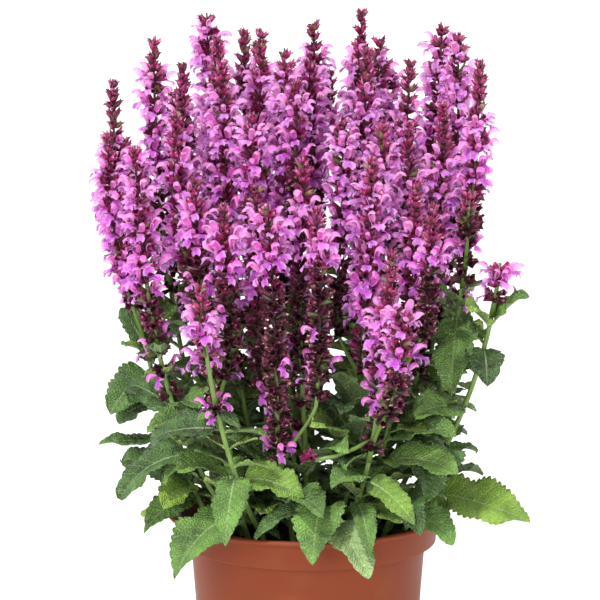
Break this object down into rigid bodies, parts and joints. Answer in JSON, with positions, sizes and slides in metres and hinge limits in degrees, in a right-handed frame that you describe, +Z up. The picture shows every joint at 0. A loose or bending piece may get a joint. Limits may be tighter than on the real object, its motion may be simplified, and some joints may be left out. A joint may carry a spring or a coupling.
{
  "type": "perennial salvia",
  "caption": "Bushy perennial salvia in a round plastic nursery pot, with upright spikes of pink-violet florets above wrinkled green leaves.",
  "frame": {"origin": "centre of the pot's flat underside", "axes": "+Z up along the pot's axis, -Y towards the front of the plant, +X to the right seen from the front"},
  "size_m": [0.2572, 0.2302, 0.4262],
  "materials": {
    "pot_plastic": "terracotta-coloured moulded polypropylene with a soft sheen",
    "potting_soil": "damp crumbly peat and fine bark",
    "leaf_green": "wrinkled, softly hairy sage leaves and square green stems, matt",
    "flower_violet": "thin pink-violet petals out of dark maroon calyces, velvety"
  },
  "bodies": {
    "root": {"pot": "pot_plastic", "soil": "potting_soil", "stem_01_leafy": "leaf_green", "stem_02_leafy": "leaf_green", "stem_03_leafy": "leaf_green", "stem_04_leafy": "leaf_green", "stem_05_leafy": "leaf_green", "stem_06_leafy": "leaf_green", "stem_07_leafy": "leaf_green", "stem_08_leafy": "leaf_green", "stem_09_leafy": "leaf_green", "stem_10_leafy": "leaf_green", "stem_11_leafy": "leaf_green", "stem_12_leafy": "leaf_green", "stem_13_leafy": "leaf_green", "stem_14_leafy": "leaf_green", "stem_15_leafy": "leaf_green", "stem_16_leafy": "leaf_green", "stem_17_leafy": "leaf_green", "stem_18_leafy": "leaf_green", "stem_19_leafy": "leaf_green", "stem_20_leafy": "leaf_green", "stem_21_leafy": "leaf_green", "stem_22_leafy": "leaf_green", "stem_23_leafy": "leaf_green", "stem_24_leafy": "leaf_green", "stem_25_leafy": "leaf_green", "stem_26_leafy": "leaf_green", "shoot_1_leafy": "leaf_green", "shoot_2_leafy": "leaf_green", "shoot_3_leafy": "leaf_green", "shoot_4_leafy": "leaf_green", "shoot_5_leafy": "leaf_green", "stem_01_flowers": "flower_violet", "stem_02_flowers": "flower_violet", "stem_03_flowers": "flower_violet", "stem_04_flowers": "flower_violet", "stem_05_flowers": "flower_violet", "stem_06_flowers": "flower_violet", "stem_07_flowers": "flower_violet", "stem_08_flowers": "flower_violet", "stem_09_flowers": "flower_violet", "stem_10_flowers": "flower_violet", "stem_11_flowers": "flower_violet", "stem_12_flowers": "flower_violet", "stem_13_flowers": "flower_violet", "stem_14_flowers": "flower_violet", "stem_15_flowers": "flower_violet", "stem_16_flowers": "flower_violet", "stem_17_flowers": "flower_violet", "stem_18_flowers": "flower_violet", "stem_19_flowers": "flower_violet", "stem_20_flowers": "flower_violet", "stem_21_flowers": "flower_violet", "stem_22_flowers": "flower_violet", "stem_23_flowers": "flower_violet", "stem_24_flowers": "flower_violet", "stem_25_flowers": "flower_violet", "stem_26_flowers": "flower_violet"}
  },
  "joints": []
}
